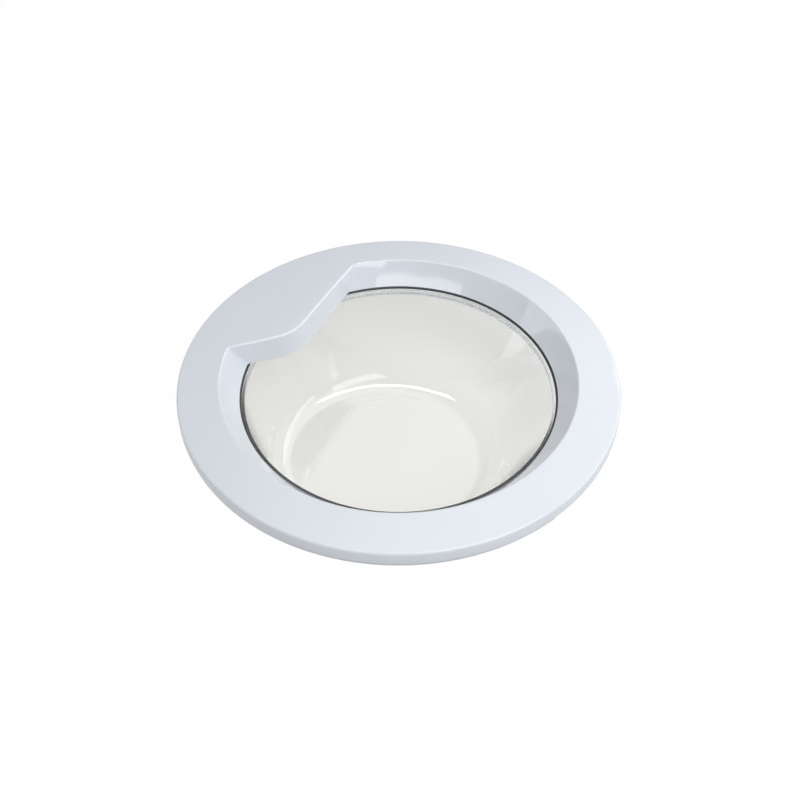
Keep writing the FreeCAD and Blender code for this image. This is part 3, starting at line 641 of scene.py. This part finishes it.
def make_lathe():
    tree, inside, outside = start_tree("lathe", (
        ("Segments", "Int", 256), ("Lean", "Float", 0.0), ("Lean Top", "Float", 0.0),
        ("Upright From", "Float", 1.0), ("Upright To", "Float", 2.0)))
    section = rounded_line(tree, inside, CORNER_STEPS)
    size = add(tree, "GeometryNodeAttributeDomainSize", component="CURVE")
    join(tree, section, size.inputs["Geometry"])
    rows, segments = size.outputs["Point Count"], inside.outputs["Segments"]
    grid = add(tree, "GeometryNodeMeshGrid")
    join(tree, number(tree, "ADD", segments, 1.0), grid.inputs["Vertices X"])
    join(tree, rows, grid.inputs["Vertices Y"])
    index = add(tree, "GeometryNodeInputIndex").outputs["Index"]
    row = number(tree, "MODULO", index, rows)
    column = number(tree, "FLOOR", number(tree, "DIVIDE", index, rows))
    angle = number(tree, "MULTIPLY", number(tree, "DIVIDE", column, segments), math.tau)
    place = add(tree, "GeometryNodeInputPosition")
    sample = add(tree, "GeometryNodeSampleIndex", data_type="FLOAT_VECTOR", domain="POINT")
    join(tree, section, sample.inputs["Geometry"])
    join(tree, place.outputs["Position"], sample.inputs["Value"])
    join(tree, row, sample.inputs["Index"])
    spin = add(tree, "ShaderNodeVectorRotate", rotation_type="Z_AXIS")
    join(tree, sample.outputs["Value"], spin.inputs["Vector"])
    join(tree, angle, spin.inputs["Angle"])
    parts = add(tree, "ShaderNodeSeparateXYZ")
    join(tree, sample.outputs["Value"], parts.inputs["Vector"])
    upright = add(tree, "ShaderNodeMapRange", interpolation_type="SMOOTHSTEP", in_To_Min=1.0, in_To_Max=0.0)
    join(tree, parts.outputs["X"], upright.inputs["Value"])
    join(tree, inside.outputs["Upright From"], upright.inputs["From Min"])
    join(tree, inside.outputs["Upright To"], upright.inputs["From Max"])
    depth = number(tree, "SUBTRACT", inside.outputs["Lean Top"], parts.outputs["Z"])
    push = number(tree, "MULTIPLY", depth, upright.outputs["Result"])
    aside = add(tree, "ShaderNodeCombineXYZ")
    join(tree, number(tree, "MULTIPLY", push, inside.outputs["Lean"]), aside.inputs["Y"])
    move = add(tree, "GeometryNodeSetPosition")
    join(tree, grid.outputs["Mesh"], move.inputs["Geometry"])
    join(tree, spin.outputs["Vector"], move.inputs["Position"])
    join(tree, aside.outputs["Vector"], move.inputs["Offset"])
    weld = add(tree, "GeometryNodeMergeByDistance", in_Distance=WELD_WITHIN)
    join(tree, move.outputs["Geometry"], weld.inputs["Geometry"])
    end_tree(tree, inside, outside, weld.outputs["Geometry"])
    return tree


LATHE = make_lathe()


def turned(name, section, finish, **inputs):
    """Piece turned from a section of (r, z, rounding) corners in millimetres."""
    base = line_mesh(name + " section", [(r, 0, z, rounding) for r, z, rounding in section])
    return make_piece(name, run_tree(name, base, LATHE, Finish=finish, **inputs), finish)


print("lathe with", len(LATHE.nodes), "nodes")

# %% [markdown]
# ## Glass bowl
# The bowl is pressed in one piece: a flat floor, a wide rounded foot, a slanted wall, a rounded mouth and a
# flange that the ring clamps. Its section runs from the middle of the underside out to the flange and back
# to the middle of the inner floor.

# %% Glass bowl
FLANGE_R, FLANGE_UNDER, FLANGE_ROUND, WALL_TOP_R = 157.0, 82.5, 1.2, 146.25
MOUTH_R, MOUTH_ROUND, BOWL_FLOOR = 144.2, 2.0, 4.5
FOOT_R, FOOT_ROUND, INNER_FOOT_R, INNER_FOOT_ROUND = 109.5, 28.5, 105.0, 24.0
FLOOR_ASIDE, UPRIGHT_FROM, UPRIGHT_TO = 20.0, 146.3, 150.0
bowl_section = [
    (0, 0, 0), (FOOT_R, 0, FOOT_ROUND), (WALL_TOP_R, FLANGE_UNDER, FLANGE_ROUND),
    (FLANGE_R, FLANGE_UNDER, FLANGE_ROUND), (FLANGE_R, Z_FLANGE, FLANGE_ROUND),
    (MOUTH_R, Z_FLANGE, MOUTH_ROUND), (INNER_FOOT_R, BOWL_FLOOR, INNER_FOOT_ROUND), (0, BOWL_FLOOR, 0),
]
bowl = turned("bowl", bowl_section, pressed_glass, Segments=288, Lean=FLOOR_ASIDE / (Z_FLANGE - BOWL_FLOOR),
              Lean_Top=Z_FLANGE * MM, Upright_From=UPRIGHT_FROM * MM, Upright_To=UPRIGHT_TO * MM)

# %% [markdown]
# ## Seal
# The seal is a dark rubber ring between the trim's lip and the glass. Only its sloping inner edge shows, as
# a thin line round the window, so that edge gets soft corners and a fine groove. A hair's gap keeps its faces
# from lying in those of its neighbours.

# %% Seal
SEAL_GAP = 0.03
SEAL_TOP, SEAL_SEAT, SEAL_FOOT = Z_LIP - SEAL_GAP, Z_FLANGE + SEAL_GAP, 84.5
SEAL_OUTER_R, SEAL_WRAP_R, SEAL_EDGE_R, SEAL_EDGE_Z = 158.9, 157.3, 146.4, 89.4
GROOVE, GROOVE_ROUND = ((147.3, 90.0), (147.1, 89.7), (146.8, 89.75)), 0.1
seal_section = [(SEAL_OUTER_R, SEAL_FOOT, 0.4), (SEAL_OUTER_R, SEAL_TOP, 0.5), (LIP_R, SEAL_TOP, 0.4)]
seal_section += [(r, z, GROOVE_ROUND) for r, z in GROOVE]
seal_section += [(SEAL_EDGE_R, SEAL_EDGE_Z, 0.35), (SEAL_EDGE_R, SEAL_SEAT, 0.2),
                 (SEAL_WRAP_R, SEAL_SEAT, 0.3), (SEAL_WRAP_R, SEAL_FOOT, 0.3)]
seal = turned("seal", seal_section + seal_section[:1], seal_rubber, Segments=256)

# %% [markdown]
# ## Screws
# Eight screws hold the rear frame and two smaller ones the tray. All are of one kind: a pan head with a cross
# recess and a coarse thread for plastic. A tree makes one such screw from its sizes and puts a copy on every
# point of a base mesh, so the base mesh is only a list of places. A seeded turn keeps the crosses from
# lining up. The core and the tip are sunk a little into what they stand on, so that no faces coincide.

# %% Screw tree
HEAD_SIDES, HEAD_RINGS, SHANK_SIDES, TURN_SIDES = 40, 8, 24, 20
CROWN_POWER, CROWN_SHARE = 3.0, 0.55
CROSS_WIDE, CROSS_LONG, CROSS_DEEP = 0.26, 1.16, 1.3
CORE_SHARE, TIP_SHARE, TIP_TOP, TIP_BASE = 0.86, 0.14, 0.35, 0.97
CORE_FROM, TIP_FROM = 0.9, 0.95
THREAD_SHARE, THREAD_FROM, RIDGE_SHARE, RIDGE_SIDES = 0.78, 0.06, 0.98, 4


def make_screw_tree():
    sizes = ("Head Radius", "Head Height", "Shank Radius", "Shank Length", "Thread", "Pitch")
    inputs = [(size, "Float", 0.001) for size in sizes]
    tree, inside, outside = start_tree("screws", inputs + [("Seed", "Int", 1)])
    head_r, head_h, shank_r, shank_l, ridge_h, pitch = [inside.outputs[size] for size in sizes]

    def times(a, b):
        return number(tree, "MULTIPLY", a, b)

    def plus(a, b):
        return number(tree, "ADD", a, b)

    def along(z):
        node = add(tree, "ShaderNodeCombineXYZ")
        join(tree, z, node.inputs["Z"])
        return node.outputs["Vector"]

    def moved(mesh, z):
        node = add(tree, "GeometryNodeTransform")
        join(tree, mesh, node.inputs["Geometry"])
        join(tree, along(z), node.inputs["Translation"])
        return node.outputs["Geometry"]

    disc = add(tree, "GeometryNodeMeshCylinder", fill_type="TRIANGLE_FAN", in_Vertices=HEAD_SIDES,
               in_Fill_Segments=HEAD_RINGS)
    join(tree, head_r, disc.inputs["Radius"])
    join(tree, head_h, disc.inputs["Depth"])
    reach, height = reach_and_height(tree, add(tree, "GeometryNodeInputPosition").outputs["Position"])
    bulge = number(tree, "POWER", number(tree, "DIVIDE", reach, head_r), CROWN_POWER)
    crown = add(tree, "GeometryNodeSetPosition")
    join(tree, disc.outputs["Mesh"], crown.inputs["Geometry"])
    join(tree, number(tree, "LESS_THAN", height, 0.0), crown.inputs["Selection"])
    join(tree, along(times(bulge, times(head_h, CROWN_SHARE))), crown.inputs["Offset"])
    cross = add(tree, "GeometryNodeMeshBoolean", operation="DIFFERENCE", solver="EXACT")
    join(tree, moved(crown.outputs["Geometry"], times(head_h, 0.5)), cross.inputs["Mesh 1"])
    for wide, long in ((CROSS_WIDE, CROSS_LONG), (CROSS_LONG, CROSS_WIDE)):
        recess = add(tree, "GeometryNodeMeshCube")
        size = add(tree, "ShaderNodeCombineXYZ")
        join(tree, times(head_r, wide), size.inputs["X"])
        join(tree, times(head_r, long), size.inputs["Y"])
        join(tree, times(head_h, CROSS_DEEP), size.inputs["Z"])
        join(tree, size.outputs["Vector"], recess.inputs["Size"])
        join(tree, recess.outputs["Mesh"], cross.inputs["Mesh 2"])
    core_r, core_l = number(tree, "SUBTRACT", shank_r, ridge_h), times(shank_l, CORE_SHARE)
    core = add(tree, "GeometryNodeMeshCylinder", in_Vertices=SHANK_SIDES)
    join(tree, core_r, core.inputs["Radius"])
    join(tree, core_l, core.inputs["Depth"])
    tip = add(tree, "GeometryNodeMeshCone", in_Vertices=SHANK_SIDES)
    join(tree, times(core_r, TIP_TOP), tip.inputs["Radius Top"])
    join(tree, times(core_r, TIP_BASE), tip.inputs["Radius Bottom"])
    join(tree, times(shank_l, TIP_SHARE), tip.inputs["Depth"])
    thread_l = times(shank_l, THREAD_SHARE)
    spiral = add(tree, "GeometryNodeCurveSpiral", in_Resolution=TURN_SIDES)
    join(tree, number(tree, "DIVIDE", thread_l, pitch), spiral.inputs["Rotations"])
    join(tree, core_r, spiral.inputs["Start Radius"])
    join(tree, core_r, spiral.inputs["End Radius"])
    join(tree, thread_l, spiral.inputs["Height"])
    ridge = add(tree, "GeometryNodeCurvePrimitiveCircle", in_Resolution=RIDGE_SIDES)
    join(tree, times(ridge_h, RIDGE_SHARE), ridge.inputs["Radius"])
    thread = add(tree, "GeometryNodeCurveToMesh", in_Fill_Caps=True)
    join(tree, spiral.outputs["Curve"], thread.inputs["Curve"])
    join(tree, ridge.outputs["Curve"], thread.inputs["Profile Curve"])
    screw = add(tree, "GeometryNodeJoinGeometry")
    for mesh, z in ((core.outputs["Mesh"], plus(times(head_h, CORE_FROM), times(core_l, 0.5))),
                    (tip.outputs["Mesh"], plus(head_h, times(core_l, TIP_FROM))),
                    (thread.outputs["Mesh"], plus(head_h, times(shank_l, THREAD_FROM)))):
        join(tree, moved(mesh, z), screw.inputs["Geometry"])
    join(tree, cross.outputs["Mesh"], screw.inputs["Geometry"])
    # Socket 3 is the largest value of a random number.
    turn_by = add(tree, "FunctionNodeRandomValue", data_type="FLOAT")
    turn_by.inputs[3].default_value = math.tau
    join(tree, inside.outputs["Seed"], turn_by.inputs["Seed"])
    euler = add(tree, "FunctionNodeEulerToRotation")
    join(tree, along(turn_by.outputs[1]), euler.inputs["Euler"])
    copies = add(tree, "GeometryNodeInstanceOnPoints")
    join(tree, inside.outputs["Geometry"], copies.inputs["Points"])
    join(tree, screw.outputs["Geometry"], copies.inputs["Instance"])
    join(tree, euler.outputs["Rotation"], copies.inputs["Rotation"])
    end_tree(tree, inside, outside, copies.outputs["Instances"])
    return tree


SCREWS = make_screw_tree()
print("screw tree with", len(SCREWS.nodes), "nodes")

# %% [markdown]
# ## Screws in place
# The frame's screws stand evenly on a circle, and the tray's two on a smaller one. Both sets come from the
# same tree with other sizes, and each has its own seed.

# %% Screws of the frame and the tray
FRAME_SCREW_R, FRAME_SCREW_Z, FRAME_SCREW_COUNT = 183.0, 94.8, 8
TRAY_SCREW_R, TRAY_SCREW_Z, TRAY_SCREW_ANGLE = 139.0, 95.3, 12.3


def put_screws(name, radius, degrees, z, **sizes):
    """One piece with a screw at each angle of a circle, its head at the height z."""
    spots = []
    for angle in map(math.radians, degrees):
        spots.append((radius * math.cos(angle) * MM, radius * math.sin(angle) * MM, z * MM))
    base = bpy.data.meshes.new(name + " spots")
    base.from_pydata(spots, [], [])
    return make_piece(name, run_tree(name, base, SCREWS, Finish=zinc_steel, **sizes), zinc_steel)


frame_angles = [360 * (i + 0.5) / FRAME_SCREW_COUNT for i in range(FRAME_SCREW_COUNT)]
frame_screws = put_screws(
    "frame_screws_cross", FRAME_SCREW_R, frame_angles,
    FRAME_SCREW_Z, Head_Radius=0.004, Head_Height=0.0026, Shank_Radius=0.00195, Shank_Length=0.010,
    Thread=0.00045, Pitch=0.0018, Seed=3)
tray_screws = put_screws(
    "tray_screws_cross", TRAY_SCREW_R, (-TRAY_SCREW_ANGLE, TRAY_SCREW_ANGLE),
    TRAY_SCREW_Z, Head_Radius=0.0029, Head_Height=0.0018, Shank_Radius=0.00145, Shank_Length=0.009,
    Thread=0.00035, Pitch=0.0014, Seed=5)

# %% [markdown]
# ## Latch spring
# The hook's spring is one wire: a toe behind the hook, a leg, two and a half turns round the pin and a second
# leg on the frame. The wire's line comes from the turns' own rule, and a tree sweeps a circle along it, with
# the bends rounded.

# %% Latch spring
LATCH_X, LATCH_Z = 180.0, 102.5
COIL_R, COIL_Y, COIL_PITCH, COIL_TURNS, TURN_STEPS = 3.1, 6.05, 1.25, 2.5, 36
TOE_X, TOE_Z, TOE_ROUND, LEG_END_Z = 174.9, 95.0, 1.0, 97.25
WIRE_R, WIRE_SIDES, BEND_STEPS, WIRE_SHARP = 0.55, 16, 6, 60.0


def make_wire_tree():
    tree, inside, outside = start_tree("wire", (("Wire Radius", "Float", 0.0005),))
    line = rounded_line(tree, inside, BEND_STEPS)
    ring = add(tree, "GeometryNodeCurvePrimitiveCircle", in_Resolution=WIRE_SIDES)
    sweep = add(tree, "GeometryNodeCurveToMesh", in_Fill_Caps=True)
    join(tree, inside.outputs["Wire Radius"], ring.inputs["Radius"])
    join(tree, line, sweep.inputs["Curve"])
    join(tree, ring.outputs["Curve"], sweep.inputs["Profile Curve"])
    end_tree(tree, inside, outside, sweep.outputs["Mesh"])
    return tree


wire_line = [(TOE_X, 0.0, TOE_Z, 0.0), (TOE_X, COIL_Y, TOE_Z, TOE_ROUND)]
for i in range(int(COIL_TURNS * TURN_STEPS) + 1):
    a = math.pi - math.tau * i / TURN_STEPS
    wire_line.append((LATCH_X + COIL_R * math.cos(a), COIL_Y + COIL_PITCH * i / TURN_STEPS,
                      LATCH_Z + COIL_R * math.sin(a), 0.0))
wire_line.append((LATCH_X + COIL_R, COIL_Y + COIL_PITCH * COIL_TURNS, LEG_END_Z, 0.0))
wire_mesh = run_tree("latch_spring_wire", line_mesh("spring line", wire_line), make_wire_tree(),
                     Wire_Radius=WIRE_R * MM, Finish=zinc_steel)
spring = make_piece("latch_spring_wire", wire_mesh, zinc_steel, WIRE_SHARP)

# %% [markdown]
# ## Pieces that keep their solids
# The rear frame, the tray, the hinge and the latch are already right as solids, so they only get their
# finishes.

# %% Finishes on the solids
FINISH_OF = {
    # The rear frame and the tray take the satin white that carries painted shade.
    "rear_frame": satin_white_painted_shade, "handle_tray": satin_white_painted_shade,
    "hinge_bracket": cast_zinc, "latch_hook": cast_zinc,
    "hinge_pin": zinc_steel, "hinge_clip": zinc_steel, "latch_pin": zinc_steel, "latch_clip": zinc_steel,
    "hinge_upper_bush": bush_nylon, "hinge_lower_bush": bush_nylon,
}
for node, finish in FINISH_OF.items():
    skin = nodes[node].data
    skin.materials.clear()
    skin.materials.append(finish)
print("finished solids:", len(FINISH_OF))

# %% [markdown]
# ## Floor
# The door lies on a plain white floor. To the camera the floor is simply white, by the Light Path node. Rays
# that come through the glass see nearly half of that white and for the rest the lit floor, so the bowl still
# shows the soft shadow under it. The floor is a little darker further out, which keeps the underside of the
# rim shaded.

# %% Floor
BACKDROP, GLASS_SHARE = 0.985, 0.46
NEAR_R, FAR_R, NEAR_TONE, FAR_TONE = 0.14, 0.30, 0.80, 0.64
FLOOR_ROUGH, GRAIN_SCALE, GRAIN = 0.9, 3.0, 0.02
FLOOR_HALF, FLOOR_Z = 6.0, -0.0006


def make_floor_finish():
    mat, tree, shader = start_material("white floor")
    shader.inputs["Roughness"].default_value = FLOOR_ROUGH
    place = add(tree, "ShaderNodeTexCoord").outputs["Object"]
    noise = add(tree, "ShaderNodeTexNoise", in_Scale=GRAIN_SCALE)
    join(tree, place, noise.inputs["Vector"])
    grain = ramp(tree, noise.outputs["Fac"], 0.0, 1.0, 1.0 - GRAIN, 1.0 + GRAIN)
    reach, _ = reach_and_height(tree, place)
    tone = ramp(tree, reach, NEAR_R, FAR_R, NEAR_TONE, FAR_TONE, "SMOOTHSTEP")
    join(tree, number(tree, "MULTIPLY", grain, tone), shader.inputs["Base Color"])
    glow = add(tree, "ShaderNodeEmission", in_Color=(1, 1, 1, 1), in_Strength=1.0)
    path = add(tree, "ShaderNodeLightPath")
    direct = number(tree, "MULTIPLY", path.outputs["Is Camera Ray"], BACKDROP)
    other = number(tree, "MAXIMUM", path.outputs["Is Glossy Ray"], path.outputs["Is Transmission Ray"])
    white = number(tree, "MAXIMUM", direct, number(tree, "MULTIPLY", other, GLASS_SHARE))
    mix_surface(tree, white, shader.outputs["BSDF"], glow.outputs["Emission"])
    return mat


floor_corners = [(x * FLOOR_HALF, y * FLOOR_HALF, FLOOR_Z) for x, y in ((-1, -1), (1, -1), (1, 1), (-1, 1))]
floor_mesh = bpy.data.meshes.new("floor")
floor_mesh.from_pydata(floor_corners, [], [(0, 1, 2, 3)])
floor_mesh.materials.append(make_floor_finish())
floor = bpy.data.objects.new("floor", floor_mesh)
bpy.context.scene.collection.objects.link(floor)
floor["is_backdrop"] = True

# %% [markdown]
# ## Studio walls
# A glossy white ring shows the room in its face, so the world is a plain studio: an even fill that is
# brighter above, and, for mirrored rays only, a soft bright patch high up behind the door that makes the
# broad sheen on the face. The camera itself sees the same white as on the floor. Directions are given as the
# camera sees them, because that is how a photographer places things.

# %% World
VIEW_TURN = math.radians(-137.35)


def from_view(side, ahead, up):
    """Direction or place as the camera sees it: to the right, away and up, turned into the part's frame."""
    c, s = math.cos(VIEW_TURN), math.sin(VIEW_TURN)
    return Vector((side * c - ahead * s, side * s + ahead * c, up))


world = bpy.data.worlds.new("studio")
world.use_nodes = True
bpy.context.scene.world = world
sky = world.node_tree
sky_way = add(sky, "ShaderNodeTexCoord")
sky_ray = add(sky, "ShaderNodeLightPath")


def sky_patch(way, low, high, dim, bright):
    """Brightness that rises towards one direction of the sky."""
    toward = add(sky, "ShaderNodeVectorMath", operation="DOT_PRODUCT")
    toward.inputs[1].default_value = way.normalized()
    join(sky, sky_way.outputs["Generated"], toward.inputs[0])
    return ramp(sky, toward.outputs["Value"], low, high, dim, bright, "SMOOTHSTEP")


fill = sky_patch(from_view(0.25, -0.2, 0.85), low=-0.8, high=1.0, dim=0.29, bright=0.50)
sheen = sky_patch(from_view(0.45, 0.35, 0.85), low=0.68, high=0.96, dim=0.30, bright=2.55)
sky_gloss = add(sky, "ShaderNodeMix", data_type="FLOAT")
sky_level = add(sky, "ShaderNodeMix", data_type="FLOAT")
sky_level.inputs[3].default_value = BACKDROP
sky_seen = number(sky, "MAXIMUM", sky_ray.outputs["Is Camera Ray"], sky_ray.outputs["Is Transmission Ray"])
join(sky, sky_ray.outputs["Is Glossy Ray"], sky_gloss.inputs[0])
join(sky, fill, sky_gloss.inputs[2])
join(sky, sheen, sky_gloss.inputs[3])
join(sky, sky_seen, sky_level.inputs[0])
join(sky, sky_gloss.outputs[0], sky_level.inputs[2])
join(sky, sky_level.outputs[0], sky.nodes["Background"].inputs["Strength"])
sky.nodes["Background"].inputs["Color"].default_value = (1, 1, 1, 1)
print("world:", world.name)

# %% [markdown]
# ## Lamps
# Soft panels on both sides and above the camera shape the ring, and a strip on the ceiling draws the thin
# arcs in the glass. Two narrow strips stand for windows behind the camera: they are linked to the trim
# alone, so that the bevel mirrors them and the glass stays clear. Lamps are hidden from rays that come
# through glass.

# %% Lamps
COOL, WARM = (0.97, 0.985, 1.0), (1.0, 0.99, 0.98)
DOOR_MIDDLE = Vector((0, 0, 0.1))


def add_lamp(name, side, ahead, height, width, tall, radiance, tint=(1, 1, 1), glint=False, only=None,
             roll=None):
    """Area lamp placed as the camera sees it, in metres. Its power follows from its size.

    It is aimed at the door, or, with a roll, stands upright and faces away from the camera. A glint makes
    highlights and no more. A lamp with a piece given as only lights that piece alone.
    """
    spot = from_view(side, ahead, height)
    lamp = bpy.data.lights.new(name, "AREA")
    lamp.shape = "RECTANGLE"
    lamp.size, lamp.size_y, lamp.color = width, tall, tint
    lamp.energy = radiance * math.pi * width * tall
    holder = bpy.data.objects.new(name, lamp)
    back = spot - DOOR_MIDDLE if roll is None else from_view(0, -1, 0)
    aim = back.to_track_quat("Z", "Y").to_matrix() @ Matrix.Rotation(math.radians(roll or 0), 3, "Z")
    holder.matrix_world = Matrix.Translation(spot) @ aim.to_4x4()
    holder.visible_transmission = False
    holder.visible_diffuse = not glint
    if only:
        holder.light_linking.receiver_collection = bpy.data.collections.new(name)
        holder.light_linking.receiver_collection.objects.link(only)
    bpy.context.scene.collection.objects.link(holder)


add_lamp("far right softbox", 1.50, 1.00, 1.00, 1.40, 1.00, 1.8, WARM)
add_lamp("right panel", 2.00, -0.10, 1.10, 1.00, 0.60, 3.1)
add_lamp("left panel", -1.90, 0.50, 0.85, 1.00, 0.60, 1.7, COOL)
add_lamp("ceiling strip", 0.0, 0.05, 2.30, 3.00, 0.30, 1.2)
add_lamp("ceiling glint", 0.0, 0.05, 2.29, 3.00, 0.30, 10.0, glint=True)
add_lamp("glass glint", 0.0, 0.05, 2.28, 3.00, 0.30, 12.0, glint=True, only=bowl)
add_lamp("camera side panel", 0.75, -1.15, 1.80, 1.50, 1.00, 3.4, COOL)
add_lamp("window middle", -0.075, -1.82, 1.305, 1.15, 0.11, 3.8, COOL, only=trim, roll=0)
add_lamp("window left", -1.25, -1.82, 1.423, 1.22, 0.11, 3.8, COOL, only=trim, roll=-9.3)
print("lamps:", len(bpy.data.lights))

# %% [markdown]
# ## Handing over
# Each new piece stands for the solid that it replaces, which is hidden, and is listed with a slot of the
# record.
# All but the spring ride on the door's body; the spring's place is baked into its mesh. The two boxes show
# that the looks kept the size.

# %% Riding, slots and sizes
HAND_OVER = (
    (trim, "white_plastic", "front_trim"), (bowl, "bowl_glass", "glass_bowl"),
    (seal, "seal_rubber", "glass_seal"), (frame_screws, "screw_steel", "frame_screws"),
    (tray_screws, "screw_steel", "handle_screws"), (spring, "pin_steel", "latch_spring"),
)
for piece, slot, node in HAND_OVER:
    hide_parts(node)
    if piece != spring:
        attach(piece, "door")
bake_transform(spring)
looks_low, looks_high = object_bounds()
change = [abs(a - b) for a, b in zip(solid_high - solid_low, looks_high - looks_low)]
print("size kept within", round(max(change) / MM, 2), "mm")
